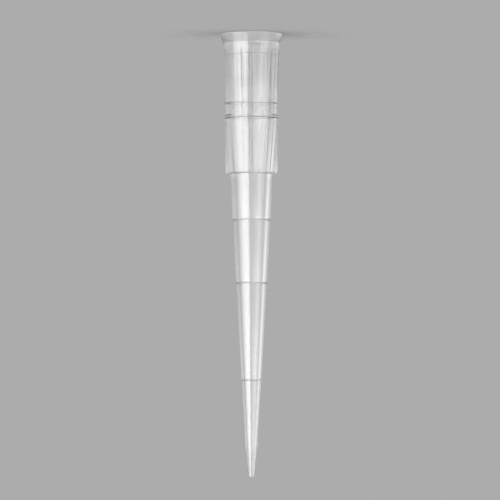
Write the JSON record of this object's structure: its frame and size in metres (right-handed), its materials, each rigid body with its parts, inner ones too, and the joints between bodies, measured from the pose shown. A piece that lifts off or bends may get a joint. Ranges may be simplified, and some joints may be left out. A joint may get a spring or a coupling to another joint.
{
  "type": "pipette tip",
  "caption": "Long hollow plastic cone with a wide flared mouth that pushes onto a pipette, raised volume rings and a fine orifice.",
  "frame": {"origin": "centre of the rim face, which the tip stands on", "axes": "+Z along the tip's axis, from the rim face to the orifice; the tip is round, so X and Y are free"},
  "size_m": [0.0074, 0.0074, 0.051],
  "materials": {
    "clear_polypropylene": "clear, slightly milky, moulded gloss"
  },
  "bodies": {
    "root": {"tip_body": "clear_polypropylene"}
  },
  "joints": []
}
